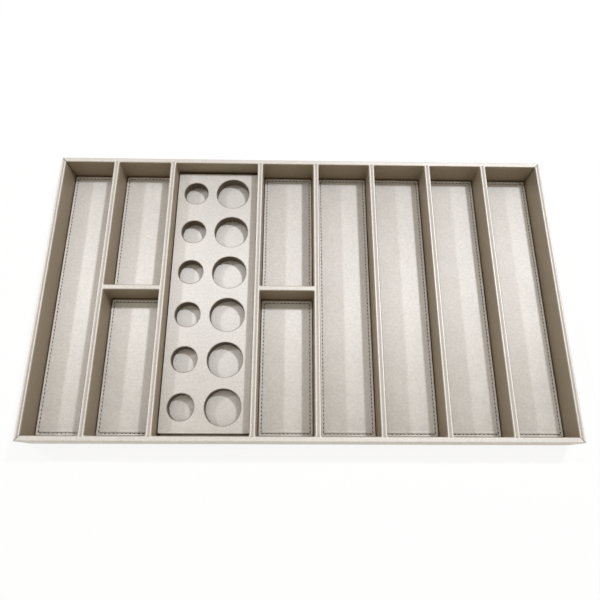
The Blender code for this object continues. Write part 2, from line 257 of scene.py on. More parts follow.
# Camera, lamps and room
CAMERA_PLACE = (-0.0186, -0.2840, RIM + 0.7746)
CAMERA_TURNS = (-3.18, 18.86, 3.48)  # about Z, then X, then Z again, in degrees
CAMERA_LENS = 31.09
CAMERA_SENSOR = 36.0
RIGHT_LAMP = ((1.05, 0.98, RIM + 2.35), 0.18, 35.5)  # place, size, power
LEFT_LAMP = ((-2.15, 0.90, RIM + 2.20), 0.18, 19.0)
LAMP_COLOUR = (0.95, 1.0, 1.11)
CEILING_COLOUR = (1.220, 1.175, 1.090)
WALL_COLOUR = (0.120, 0.092, 0.050)
BACKDROP_COLOUR = (1.0, 1.0, 1.0)
# The room changes at these sines of the height over the horizon
BACKDROP_END = 0.27
WALL_START = 0.34
CEILING_START = 0.65
CEILING_FULL = 0.90
FLOOR_COLOUR = (0.90, 0.90, 0.89)
FLOOR_ROUGHNESS = 0.9
FLOOR_GLOW = 0.86  # how much of what is seen of the floor is plain white
FLOOR_SIZE = 6.0


# Shapes shared by all pieces


def between(start, end, share):
    return start + (end - start) * share


def part_way(here, there, share):
    """A point of a plan that lies between two others."""
    return between(here[0], there[0], share), between(here[1], there[1], share)


def circle(centre, radius, angles):
    """The points of a circle at the angles given, in radians."""
    return [(centre[0] + radius * math.cos(a), centre[1] + radius * math.sin(a)) for a in angles]


def arc(centre, radius, start, end, steps):
    """Points along an arc between two angles in degrees, both ends included."""
    angles = [math.radians(between(start, end, step / steps)) for step in range(steps + 1)]
    return circle(centre, radius, angles)


def plan_of(low, high):
    """The middle of a box in plan and its half sizes, along X and then along Y."""
    return (low.x + high.x) / 2, (low.y + high.y) / 2, (high.x - low.x) / 2, (high.y - low.y) / 2


def stray(point):
    """How far the leatherette lies off its true surface at a point."""
    wave = noise.noise(point / WAVE_LENGTH) * WAVE_HEIGHT
    return wave + noise.noise(point / RIPPLE_LENGTH) * RIPPLE_HEIGHT


def sag(point):
    """Lets a point of a padded face down by what the leatherette strays there, and never raises it."""
    point.z += min(0.0, stray(point) / 2 - WAVE_HEIGHT / 2)


def rounded_corner(x, y, half_x, half_y, radius):
    """A point of a rectangle's plan, drawn in so that the plan's corners turn on a radius."""
    over_x = abs(x) - (half_x - radius)
    over_y = abs(y) - (half_y - radius)
    if over_x <= 0 or over_y <= 0:
        return x, y
    pull = 1 - max(over_x, over_y) / math.hypot(over_x, over_y)
    return x - math.copysign(over_x * pull, x), y - math.copysign(over_y * pull, y)


def strip_faces(first, second, count, closed):
    """Quads between two rows of as many points, given by their first indices."""
    turns = count if closed else count - 1
    return [
        (first + i, first + (i + 1) % count, second + (i + 1) % count, second + i) for i in range(turns)
    ]


def add_piece(name, points, faces, material, body, nodes, wear_and_highlight=(), grime_and_shade=()):
    """One closed mesh that rides on a body in the place of its CAD nodes."""
    mesh = bpy.data.meshes.new(name)
    mesh.from_pydata(points, [], faces)
    for label, values in (("wear_and_highlight", wear_and_highlight), ("grime_and_shade", grime_and_shade)):
        layer = mesh.attributes.new(label, "FLOAT", "POINT")
        layer.data.foreach_set("value", values or [0.0] * len(points))
    work = bmesh.new()
    work.from_mesh(mesh)
    bmesh.ops.remove_doubles(work, verts=work.verts, dist=MERGE)
    bmesh.ops.recalc_face_normals(work, faces=work.faces)
    work.to_mesh(mesh)
    work.free()
    mesh.shade_smooth()
    mesh.set_sharp_from_angle(angle=SMOOTH_ANGLE)
    mesh.materials.append(material)
    piece = bpy.data.objects.new(name, mesh)
    bpy.context.scene.collection.objects.link(piece)
    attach(piece, body)
    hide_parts(*nodes)
    return piece


# Materials


def feed(tree, socket, value):
    """Gives a socket its value: a number, a colour, or the output of another node."""
    if isinstance(value, bpy.types.NodeSocket):
        tree.links.new(value, socket)
    else:
        socket.default_value = value


def add_node(tree, kind, settings=None, **inputs):
    """A node with its settings and inputs. An underscore in an input's name stands for a space."""
    made = tree.nodes.new(kind)
    for name, value in (settings or {}).items():
        setattr(made, name, value)
    for name, value in inputs.items():
        feed(tree, made.inputs[name.replace("_", " ")], value)
    return made


def new_material(name):
    """A material, its node tree and its Principled shader."""
    material = bpy.data.materials.new(name)
    material.use_nodes = True
    tree = material.node_tree
    return material, tree, tree.nodes["Principled BSDF"]


def mixed(tree, factor, first, second, blend="MIX"):
    """The output of a colour mix, whose factor and colours are values or links."""
    made = add_node(tree, "ShaderNodeMix", {"data_type": "RGBA", "blend_type": blend})
    for index, value in ((0, factor), (6, first), (7, second)):
        feed(tree, made.inputs[index], value)
    return made.outputs[2]


def ranged(tree, value, low, high, start=0.0, end=1.0):
    """A value's range from start to end, spread from low to high."""
    inputs = {"From_Min": start, "From_Max": end, "To_Min": low, "To_Max": high}
    return add_node(tree, "ShaderNodeMapRange", Value=value, **inputs).outputs["Result"]


def math_node(tree, operation, first, second):
    made = add_node(tree, "ShaderNodeMath", {"operation": operation})
    feed(tree, made.inputs[0], first)
    feed(tree, made.inputs[1], second)
    return made.outputs[0]


def noise_at(tree, place, length, detail=2.0, roughness=0.5):
    """A noise texture whose features are as long as said."""
    inputs = {"Scale": 1 / length, "Detail": detail, "Roughness": roughness}
    return add_node(tree, "ShaderNodeTexNoise", Vector=place, **inputs).outputs["Fac"]


def attribute(tree, name):
    return add_node(tree, "ShaderNodeAttribute", {"attribute_name": name}).outputs["Fac"]


def two_toned(tree, factor, colour, tones):
    """A colour that goes from one tone to the other, both given as shares of it."""
    first, second = ((*(tone * part for part in colour), 1) for tone in tones)
    return mixed(tree, factor, first, second)


def finish_shader(tree, shader, tint, rough, relief, bump):
    """Links a shader to its colour, its roughness and its relief."""
    strength, depth = bump
    raised = add_node(tree, "ShaderNodeBump", Strength=strength, Distance=depth, Height=relief)
    tree.links.new(tint, shader.inputs["Base Color"])
    tree.links.new(rough, shader.inputs["Roughness"])
    tree.links.new(raised.outputs["Normal"], shader.inputs["Normal"])


def leatherette(name, roughness, pearl, brushing):
    """Fine-grained satin leatherette: lighter and polished where worn, with painted highlight, and
    darker and duller under grime and painted shade.
    """
    material, tree, shader = new_material(name)
    place = add_node(tree, "ShaderNodeTexCoord").outputs["Object"]
    inputs = {"Scale": 1 / GRAIN, "Smoothness": PEBBLE_SMOOTHNESS}
    cells = add_node(tree, "ShaderNodeTexVoronoi", {"feature": "SMOOTH_F1"}, Vector=place, **inputs)
    pebbles = cells.outputs["Distance"]
    creases = noise_at(tree, place, CREASE, detail=3.0, roughness=0.6)
    pores = noise_at(tree, place, PORE, detail=1.0)
    wear_and_highlight = attribute(tree, "wear_and_highlight")
    grime_and_shade = attribute(tree, "grime_and_shade")

    height = math_node(tree, "SUBTRACT", PEBBLE_HEIGHT, pebbles)
    relief = mixed(tree, CREASE_SHARE, height, creases)
    relief = mixed(tree, PORE_SHARE, relief, pores)

    shade = ranged(tree, noise_at(tree, place, CLOUD), *BROAD_TONES, *NOISE_RANGE)
    mottles = noise_at(tree, place, MOTTLE, detail=4.0, roughness=0.6)
    for tone in (
        ranged(tree, mottles, *BROAD_TONES, *NOISE_RANGE),
        ranged(tree, pebbles, *PEBBLE_TONES, *PEBBLE_RANGE),
        ranged(tree, creases, *CREASE_TONES, *NOISE_RANGE),
    ):
        shade = math_node(tree, "MULTIPLY", shade, tone)

    # Wear and painted highlight lighten the colour; grime and painted shade darken it, browner on
    # upright faces than on faces turned up
    wear_and_highlight_amount = math_node(tree, "MULTIPLY", wear_and_highlight, WEAR_AND_HIGHLIGHT_SHARE)
    tint = mixed(tree, wear_and_highlight_amount, (*LEATHER_COLOUR, 1), (*WEAR_AND_HIGHLIGHT_COLOUR, 1))
    facing = add_node(tree, "ShaderNodeNewGeometry").outputs["Normal"]
    facing_up = add_node(tree, "ShaderNodeSeparateXYZ", Vector=facing).outputs["Z"]
    turned_up = ranged(tree, facing_up, 0.0, 1.0, *UPWARD_RANGE)
    dirt_and_shade_coat = mixed(tree, turned_up, (*GRIME_AND_SHADE_COLOUR, 1), (*TOP_GRIME_AND_SHADE_COLOUR, 1))
    dirt_and_shade = add_node(tree, "ShaderNodeGamma", Color=dirt_and_shade_coat, Gamma=grime_and_shade).outputs["Color"]
    tint = mixed(tree, 1.0, tint, dirt_and_shade, "MULTIPLY")
    tint = mixed(tree, 1.0, tint, shade, "MULTIPLY")

    patches = noise_at(tree, place, MOTTLE, detail=3.0)
    rough = ranged(tree, patches, roughness - SMOOTHER, roughness + ROUGHER, *NOISE_RANGE)
    rough = math_node(tree, "SUBTRACT", rough, math_node(tree, "MULTIPLY", wear_and_highlight, WORN_POLISH))
    rough = math_node(tree, "ADD", rough, math_node(tree, "MULTIPLY", grime_and_shade, HOLLOW_DULLNESS))
    finish_shader(tree, shader, tint, rough, relief, GRAIN_BUMP)
    shader.inputs["Metallic"].default_value = pearl
    if brushing:
        tangent = add_node(tree, "ShaderNodeVectorMath", {"operation": "CROSS_PRODUCT"})
        feed(tree, tangent.inputs[0], NAP)
        feed(tree, tangent.inputs[1], facing)
        tree.links.new(tangent.outputs[0], shader.inputs["Tangent"])
        shader.inputs["Anisotropic"].default_value = brushing
    return material


def fibreboard(name, colour, roughness, fibre):
    """Pressed board: short fibres and dust, in two close tones."""
    material, tree, shader = new_material(name)
    place = add_node(tree, "ShaderNodeTexCoord").outputs["Object"]
    stretched = add_node(tree, "ShaderNodeMapping", Vector=place, Scale=FIBRE_STRETCH)
    fibres = noise_at(tree, stretched.outputs["Vector"], fibre, detail=6.0, roughness=0.7)
    specks = noise_at(tree, place, fibre / SPECKS_PER_FIBRE)
    tint = two_toned(tree, ranged(tree, fibres, 0.0, 1.0, *FIBRE_RANGE), colour, BOARD_TONES)
    rough = ranged(tree, specks, roughness - BOARD_STRAY, roughness + BOARD_STRAY)
    finish_shader(tree, shader, tint, rough, fibres, BOARD_BUMP)
    return material


def felt(name):
    """Needled felt: matted fibres with a soft nap."""
    material, tree, shader = new_material(name)
    place = add_node(tree, "ShaderNodeTexCoord").outputs["Object"]
    fibres = noise_at(tree, place, FELT_FIBRE, detail=8.0, roughness=0.75)
    clumps = noise_at(tree, place, FELT_CLUMP, detail=3.0)
    tint = two_toned(tree, ranged(tree, fibres, 0.0, 1.0, *FIBRE_RANGE), FELT_COLOUR, FELT_TONES)
    tint = mixed(tree, 1.0, tint, ranged(tree, clumps, *CLUMP_TONES, *NOISE_RANGE), "MULTIPLY")
    finish_shader(tree, shader, tint, ranged(tree, fibres, *FELT_ROUGHNESS), fibres, FELT_BUMP)
    shader.inputs["Sheen Weight"].default_value = FELT_SHEEN
    return material


def twisted_thread(name):
    """Waxed two-ply thread, its twist running aslant."""
    material, tree, shader = new_material(name)
    place = add_node(tree, "ShaderNodeTexCoord").outputs["Object"]
    settings = {"wave_type": "BANDS", "bands_direction": "DIAGONAL"}
    inputs = {"Scale": TWIST_SCALE, "Distortion": TWIST_DISTORTION}
    plies = add_node(tree, "ShaderNodeTexWave", settings, Vector=place, **inputs).outputs["Fac"]
    tint = two_toned(tree, plies, THREAD_COLOUR, THREAD_TONES)
    finish_shader(tree, shader, tint, ranged(tree, plies, *THREAD_ROUGHNESS), plies, THREAD_BUMP)
    shader.inputs["Specular IOR Level"].default_value = THREAD_SPECULAR
    return material


# Wraps


def wrap_section(thickness, outer_foot, hollowed, hemmed):
    """A wrap cut across: matching points outside and inside, from the inner foot over to the outer.

    With them go the outside's wear with painted highlight, and its grime with painted shade. Its outer
    face is at -X.
    """
    half = thickness / 2
    shoulder = half - ARRIS
    spring = RIM - ARRIS
    outside = [(half, between(BAY_FLOOR, spring, step / LEG_STEPS)) for step in range(LEG_STEPS)]
    outside += arc((shoulder, spring), ARRIS, 0, 90, ARRIS_STEPS)
    if hollowed:
        valley = shoulder - CREST_WIDTH
        for step in range(VALLEY_STEPS + 1):
            across = 1 - 2 * step / VALLEY_STEPS
            dip = VALLEY_DEPTH * (1 + math.cos(math.pi * across)) / 2
            outside.append((valley * across, RIM - dip))
    else:
        outside += [(shoulder * (1 - 2 * step / TOP_STEPS), RIM) for step in range(1, TOP_STEPS)]
    outside += arc((-shoulder, spring), ARRIS, 90, 180, ARRIS_STEPS)
    foot = HEM_FLOOR + HEM_RADIUS if hemmed else outer_foot
    outside += [(-half, between(spring, foot, step / LEG_STEPS)) for step in range(1, LEG_STEPS + 1)]
    inside = [(max(WRAP - half, min(half - WRAP, x)), min(z, TOP_UNDERSIDE)) for x, z in outside]
    if hemmed:
        hem = arc((HEM_RADIUS - half, HEM_FLOOR + HEM_RADIUS), HEM_RADIUS, 180, 270, LIP_STEPS)[1:]
        outside += [*hem, (HEM_WIDTH - half, HEM_FLOOR)]
        inside = [(x, max(z, HEM_TOP) if x < 0 else z) for x, z in inside]
        inside += [(WRAP - half, HEM_TOP)] * len(hem) + [(HEM_WIDTH - half, HEM_TOP)]
    wear_and_highlight, grime_and_shade = [], []
    # Crests, and flat tops more faintly, get wear with painted highlight; sides, valleys and
    # flat-topped wraps get painted shade, and the foot grime with painted shade
    for x, z in outside:
        tilt = max(0.0, abs(x) - shoulder) / ARRIS
        crest = max(0.0, 1 - CREST_FADE * tilt)
        if not hollowed:
            crest *= FLAT_WEAR_AND_HIGHLIGHT
        elif abs(x) < shoulder - CREST_WIDTH / 2:
            crest = 0.0
        wear_and_highlight.append(crest)
        shade = 0.0
        if x > 0 or not hemmed:
            shade = max(SIDE_SHADE * math.sqrt(tilt), 1 - (z - BAY_FLOOR) / FOOT_SHADE)
        if hollowed and abs(x) < shoulder:
            shade = VALLEY_SHADE * math.sqrt((RIM - z) / VALLEY_DEPTH)
        elif not hollowed:
            shade = max(shade, FLAT_SHADE)
        grime_and_shade.append(shade)
    return outside, inside, wear_and_highlight, grime_and_shade


def outward(points, index):
    """The direction square to an outline at one of its points, away from the solid."""
    before = points[max(0, index - 1)]
    after = points[min(len(points) - 1, index + 1)]
    run = Vector((after[0] - before[0], after[1] - before[1]))
    return Vector((run.y, -run.x)).normalized()


def stations(length):
    """Distances from one end of a wrap at which its section is repeated, closer near both ends."""
    steps = range(END_STEPS + 1)
    near = [FILLET * (1 - math.cos(math.radians(90 * step / END_STEPS))) for step in steps]
    middle = length - 2 * FILLET
    count = max(2, round(middle / STATION))
    return (
        near
        + [FILLET + middle * step / count for step in range(1, count)]
        + [length - distance for distance in reversed(near)]
    )


def flare(distance):
    """How far a wrap's side turns out at a distance from its end."""
    if distance >= FILLET:
        return 0.0
    return FILLET - math.sqrt(FILLET**2 - (FILLET - distance) ** 2)


def tongue(height):
    """How far a divider's wrap reaches over the rounded edge of the wall that it meets."""
    rise = max(0.0, height - (RIM - ARRIS))
    return ARRIS - math.sqrt(max(0.0, ARRIS**2 - rise**2)) + FIT - SEAM_GAP


def behind_rack(point):
    """How much painted shade a point of the walls gets from the gap between them and the bottle rack.
    """
    low, high = RACK_BOX
    beside = low.x - GAP_REACH < point.x < high.x + GAP_REACH
    if not (beside and low.y - GAP_REACH < point.y < high.y + GAP_REACH and point.z < high.z):
        return 0.0
    return min(1.0, (high.z - point.z) / GAP_SHADE)


def add_wrap(name, material, turn, hollowed, walled):
    """The wrap of a wall, mitred and hemmed, or of a divider, flared into the walls that it meets."""
    low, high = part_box(f"{name}_cover")
    across_axis = turn % 180 == 0
    length = high.y - low.y if across_axis else high.x - low.x
    thickness = high.x - low.x if across_axis else high.y - low.y
    half = thickness / 2
    middle = Vector(((low.x + high.x) / 2, (low.y + high.y) / 2, 0))
    turned = Matrix.Rotation(math.radians(turn), 3, "Z")
    outside, inside, wear_and_highlight, grime_and_shade = wrap_section(thickness, low.z, hollowed, walled)
    count = len(outside)
    directions = [outward(outside, index) for index in range(count)]

    def placed(x, z, station, direction):
        """Where a point of the section goes at a station."""
        from_end = min(station, length - station)
        if walled:
            reach = length / 2 - (x + half + SEAM_GAP / math.sqrt(2))
        else:
            reach = length / 2 + tongue(z)
            x += flare(from_end) * x / half
        along = (station - length / 2) / (length / 2) * reach
        point = turned @ Vector((x, along, z)) + middle
        if direction is not None:
            offset = stray(point) * min(1.0, from_end / WAVE_FADE)
            point += turned @ Vector((direction.x, 0, direction.y)) * offset
        if walled:
            plan = (CAD_BOX[1].x, CAD_BOX[1].y, CORNER_RADIUS)
            point.x, point.y = rounded_corner(point.x, point.y, *plan)
        return point

    points, faces, dirt_and_shade = [], [], []
    rows = stations(length)
    for station in rows:
        outer = [placed(*outside[i], station, directions[i]) for i in range(count)]
        dirt_and_shade += [max(grime_and_shade[i], behind_rack(outer[i])) for i in range(count)] + [0.0] * count
        points += outer + [placed(*inside[i], station, None) for i in range(count)]
    for row in range(len(rows) - 1):
        here = 2 * count * row
        there = here + 2 * count
        faces += strip_faces(here, there, count, False)
        faces += strip_faces(there + count, here + count, count, False)
        for edge in (0, count - 1):
            faces.append((here + edge, there + edge, there + count + edge, here + count + edge))
    for here in (0, 2 * count * (len(rows) - 1)):
        faces += strip_faces(here, here + count, count, False)
    add_piece(
        f"{name}_wrap", points, faces, material, "tray", [f"{name}_cover"],
        (wear_and_highlight + [0.0] * count) * len(rows), dirt_and_shade,
    )


def add_wraps(material):
    for side, turn in (("left", 0), ("front", 90), ("right", 180), ("back", 270)):
        add_wrap(f"{side}_wall", material, turn, hollowed=turn % 180 == 0, walled=True)
    for name in sorted(frame["nodes"]):
        if name.startswith("divider_") and name.endswith("_cover"):
            add_wrap(name.removesuffix("_cover"), material, 0, hollowed=True, walled=False)
        if name.startswith("cross_divider_") and name.endswith("_cover"):
            add_wrap(name.removesuffix("_cover"), material, 90, hollowed=False, walled=False)


# Mats


def seam_pitch(half_side):
    """The pitch that divides one side of a seam into whole stitches."""
    side = 2 * (half_side - STITCH_INSET)
    return side / max(1, round(side / STITCH_PITCH))


def side_shares(half_side):
    """Shares of a mat's side at which its rings have points, closer near the corners."""
    corner = [MAT_CORNER * step / CORNER_STEPS for step in range(CORNER_STEPS + 1)]
    side = 2 * half_side
    middle = side - 2 * MAT_CORNER
    count = 2 * round(middle / MAT_STATION / 2)
    distances = corner + [MAT_CORNER + middle * step / count for step in range(1, count)]
    distances += [side - distance for distance in reversed(corner)]
    return [distance / side for distance in distances]


def mat_ring(shares_x, shares_y, half_x, half_y, inset):
    """One ring of points round a mat or the felt, anticlockwise from its front left corner.

    With each point goes whether its side runs along Y.
    """
    reach_x = half_x - inset
    reach_y = half_y - inset
    ring = [((2 * s - 1) * reach_x, -reach_y, False) for s in shares_x[:-1]]
    ring += [(reach_x, (2 * s - 1) * reach_y, True) for s in shares_y[:-1]]
    ring += [((1 - 2 * s) * reach_x, reach_y, False) for s in shares_x[:-1]]
    ring += [(-reach_x, (1 - 2 * s) * reach_y, True) for s in shares_y[:-1]]
    return ring


def bell(distance, width):
    return math.exp(-((distance / width) ** 2))


def mat_sink(inset, along, half_side):
    """How far a stitched mat's face lies under the top of its CAD node, and how much painted shade its
    stitch holes have there.
    """
    pitch = seam_pitch(half_side)
    seam_end = half_side - STITCH_INSET
    hole = bell(math.remainder(along + seam_end, pitch), HOLE_WIDTH)
    if abs(along) > seam_end + SEAM_WIDTH:
        hole = 0.0
    aside = inset - STITCH_INSET
    seam = bell(aside, SEAM_WIDTH)
    shoulders = bell(aside + OUTER_SHOULDER, SEAM_WIDTH)
    shoulders += bell(aside - INNER_SHOULDER, INNER_SHOULDER_WIDTH)
    sink = MAT_REST - SHOULDER_RISE * min(1.0, shoulders) + seam * (SEAM_DEPTH + HOLE_DEPTH * hole)
    return sink, HOLE_SHADE * seam * hole


def mat_insets(stitched):
    """Where the rings of a mat's face lie, from the end of its rounded edge to its plain middle."""
    if not stitched:
        return [PLAIN_RING, BAND]
    return [STITCH_INSET + SEAM_WIDTH * place for place in SEAM_RINGS] + [BAND]


def add_mat_face(name, material, body, stitched):
    """The leatherette of a mat: a soft rounded edge, a border drawn in at each hole, a plain middle."""
    low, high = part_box(f"{name}_cover")
    middle_x, middle_y, half_x, half_y = plan_of(low, high)
    shares_x, shares_y = side_shares(half_x), side_shares(half_y)
    ceiling = high.z - MAT_FACE
    top = high.z - (MAT_REST if stitched else 0.0)
    skirt = [(WRAP, ceiling), (WRAP, low.z), (CUT_EDGE, low.z), (0.0, low.z + CUT_EDGE)]
    edge = arc((MAT_EDGE, top - MAT_EDGE), MAT_EDGE, 180, 90, ARRIS_STEPS)
    profile = skirt + edge + [(inset, None) for inset in mat_insets(stitched)]

    points, faces, wear_and_highlight, grime_and_shade = [], [], [], []
    for inset, height in profile:
        on_face = height is None
        for x, y, along_y in mat_ring(shares_x, shares_y, half_x, half_y, inset):
            along, half_side = (y, half_y) if along_y else (x, half_x)
            sink, depth = mat_sink(inset, along, half_side) if on_face and stitched else (0.0, 0.0)
            x, y = rounded_corner(x, y, half_x, half_y, MAT_CORNER)
            point = Vector((middle_x + x, middle_y + y, high.z - sink if on_face else height))
            if on_face or inset > WRAP:
                sag(point)
            points.append(point)
            # Painted shade over the mat's skirt, and in its stitch holes
            grime_and_shade.append(1.0 if not on_face and height <= ceiling else depth)
            rolled = not on_face and inset < MAT_EDGE and height > ceiling
            # Wear and painted highlight on the mat's rolled edge and just inside it
            wear_and_highlight.append(EDGE_WEAR_AND_HIGHLIGHT if rolled else BORDER_WEAR_AND_HIGHLIGHT * bell(inset - 2 * MAT_EDGE, MAT_EDGE))
    around = 2 * (len(shares_x) + len(shares_y) - 2)
    for row in range(len(profile) - 1):
        faces += strip_faces(around * row, around * (row + 1), around, True)
    faces.append(tuple(reversed(range(around))))

    last = around * (len(profile) - 1)
    faces += middle_faces(points, wear_and_highlight, grime_and_shade, last, len(shares_x) - 1, len(shares_y) - 1)
    piece = add_piece(
        f"{name}_leatherette", points, faces, material, body, [f"{name}_cover"],
        wear_and_highlight, grime_and_shade,
    )


def middle_faces(points, wear_and_highlight, grime_and_shade, first, steps_x, steps_y):
    """A coarser grid that joins every second point of the last ring. It adds its own points."""
    front = [first + step for step in range(steps_x + 1)]
    right = [first + steps_x + step for step in range(steps_y + 1)]
    back = [first + steps_x + steps_y + step for step in range(steps_x + 1)][::-1]
    left = [first + 2 * steps_x + steps_y + step for step in range(steps_y)] + [first]
    left = left[::-1]
    columns, rows = steps_x // 2, steps_y // 2
    grid = {}
    for column in range(columns + 1):
        grid[column, 0] = front[2 * column]
        grid[column, rows] = back[2 * column]
    for row in range(rows + 1):
        grid[0, row] = left[2 * row]
        grid[columns, row] = right[2 * row]
    for column in range(1, columns):
        for row in range(1, rows):
            x = points[front[2 * column]].x
            y = points[left[2 * row]].y
            z = points[first + steps_x // 2].z
            point = Vector((x, y, z))
            sag(point)
            grid[column, row] = len(points)
            points.append(point)
            wear_and_highlight.append(0.0)
            grime_and_shade.append(0.0)
    faces = []
    for column in range(columns):
        for row in range(rows):
            face = [grid[column, row]]
            if row == 0:
                face.append(front[2 * column + 1])
            face.append(grid[column + 1, row])
            if column == columns - 1:
                face.append(right[2 * row + 1])
            face.append(grid[column + 1, row + 1])
            if row == rows - 1:
                face.append(back[2 * column + 1])
            face.append(grid[column, row + 1])
            if column == 0:
                face.append(left[2 * row + 1])
            faces.append(tuple(face))
    return faces


def stitch_points(centre, heading, height):
    """One stitch: a short thick-waisted length of thread whose ends dive into their holes."""
    across = Vector((-heading.y, heading.x, 0))
    up = Vector((0, 0, 1))
    points = []
    for ring in range(STITCH_RINGS + 1):
        share = 2 * ring / STITCH_RINGS - 1
        radius = THREAD / 2 * (1 - abs(share) ** STITCH_FULLNESS * STITCH_TAPER)
        lift = STITCH_RISE * (1 - STITCH_DIVE * share**STITCH_ARCH)
        spine = centre + heading * (share * STITCH_LENGTH / 2) + up * (height + lift)
        for side in range(STITCH_SIDES):
            angle = 2 * math.pi * side / STITCH_SIDES
            sideways = across * (radius * math.cos(angle))
            points.append(spine + sideways + up * (STITCH_FLATNESS * radius * math.sin(angle)))
    return points


def add_stitches(name, material, body):
    """The seam of a mat, stitch by stitch, each a little aslant."""
    low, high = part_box(f"{name}_cover")
    middle_x, middle_y, half_x, half_y = plan_of(low, high)
    middle = Vector((middle_x, middle_y, 0))
    height = high.z - MAT_REST - STITCH_BED
    points, faces = [], []
    sides = ((0, half_x, half_y), (90, half_y, half_x), (180, half_x, half_y), (270, half_y, half_x))
    for turn, half_side, half_other in sides:
        pitch = seam_pitch(half_side)
        turned = Matrix.Rotation(math.radians(turn), 3, "Z")
        count = round(2 * (half_side - STITCH_INSET) / pitch)
        for stitch in range(count):
            along = STITCH_INSET - half_side + (stitch + 0.5) * pitch
            centre = middle + turned @ Vector((along, STITCH_INSET - half_other, 0))
            strays = noise.noise(centre * STRAY_SCALE)
            slant = math.radians(turn + STITCH_SLANT + SLANT_STRAY * strays)
            heading = Vector((math.cos(slant), math.sin(slant), 0))
            first = len(points)
            points += stitch_points(centre, heading, height)
            for ring in range(STITCH_RINGS):
                here = first + ring * STITCH_SIDES
                faces += strip_faces(here, here + STITCH_SIDES, STITCH_SIDES, True)
            faces.append(tuple(first + side for side in range(STITCH_SIDES)))
            last = first + STITCH_RINGS * STITCH_SIDES
            faces.append(tuple(last + side for side in reversed(range(STITCH_SIDES))))
    add_piece(f"{name}_stitches", points, faces, material, body, [f"{name}_thread"])


def add_mats(leather, thread):
    for name in sorted(frame["nodes"]):
        if name.startswith("mat_") and name.endswith("_cover"):
            mat = name.removesuffix("_cover")
            stitched = f"{mat}_thread" in frame["nodes"]
            body = mat if mat in frame["bodies"] else "tray"
            add_mat_face(mat, leather, body, stitched)
            if stitched:
                add_stitches(mat, thread, body)


# Bottle rack


def stepped(lines):
    """Places along a row of cells, evenly spaced in each cell."""
    places = []
    for here, there in zip(lines, lines[1:]):
        places += [between(here, there, step / CELL_STEPS) for step in range(CELL_STEPS)]
    return [*places, lines[-1]]


class Rack:
    """The plan of the rack: its middle, half sizes, sockets and the cell of plate round each."""

    def __init__(self):
        self.low, self.high = RACK_BOX
        middle_x, middle_y, self.half_x, self.half_y = plan_of(self.low, self.high)
        self.middle = Vector((middle_x, middle_y, 0))
        small_x = SMALL_SIDE_MARGIN + SMALL_BORE / 2 - self.half_x
        large_x = self.half_x - LARGE_SIDE_MARGIN - LARGE_BORE / 2
        first = BORE_END_MARGIN + LARGE_BORE / 2 - self.half_y
        self.rows = [between(first, -first, row / (SOCKET_ROWS - 1)) for row in range(SOCKET_ROWS)]
        self.columns = ((small_x, SMALL_BORE / 2), (large_x, LARGE_BORE / 2))
        self.split_x = (small_x + SMALL_BORE / 2 + large_x - LARGE_BORE / 2) / 2
        self.split_y = [(here + there) / 2 for here, there in zip(self.rows, self.rows[1:])]

    def lines(self, inset):
        """Where the cells meet across and along the rack, with the outermost lines set in."""
        across = [inset - self.half_x, self.split_x, self.half_x - inset]
        along = [inset - self.half_y, *self.split_y, self.half_y - inset]
        return across, along

    def rim(self, inset):
        """The ring of points round the plate, anticlockwise from its front left corner."""
        across, along = self.lines(inset)
        xs, ys = stepped(across), stepped(along)
        ring = [(x, ys[0]) for x in xs[:-1]] + [(xs[-1], y) for y in ys[:-1]]
        ring += [(x, ys[-1]) for x in xs[:0:-1]] + [(xs[0], y) for y in ys[:0:-1]]
        return [self.rounded(x, y) for x, y in ring]

    def rounded(self, x, y):
        return rounded_corner(x, y, self.half_x, self.half_y, RACK_CORNER)

    def cells(self, inset):
        """For each socket, its middle, its radius and the corners of its cell."""
        across, along = self.lines(inset)
        for column, (x, radius) in enumerate(self.columns):
            for row, y in enumerate(self.rows):
                left, right = across[column : column + 2]
                front, back = along[row : row + 2]
                corners = ((left, front), (right, front), (right, back), (left, back))
                yield (x, y), radius, corners


def socket_angles(centre, corners):
    """Angles round a socket that match the points of its cell's edge."""
    angles = []
    bearings = [math.atan2(y - centre[1], x - centre[0]) for x, y in corners]
    for here, there in zip(bearings, bearings[1:] + bearings[:1]):
        sweep = (there - here) % (2 * math.pi)
        angles += [here + sweep * step / CELL_STEPS for step in range(CELL_STEPS)]
    return angles


def cell_edge(corners):
    """Points along the edge of a cell, anticlockwise from its first corner."""
    edge = []
    for here, there in zip(corners, corners[1:] + corners[:1]):
        edge += [part_way(here, there, step / CELL_STEPS) for step in range(CELL_STEPS)]
    return edge


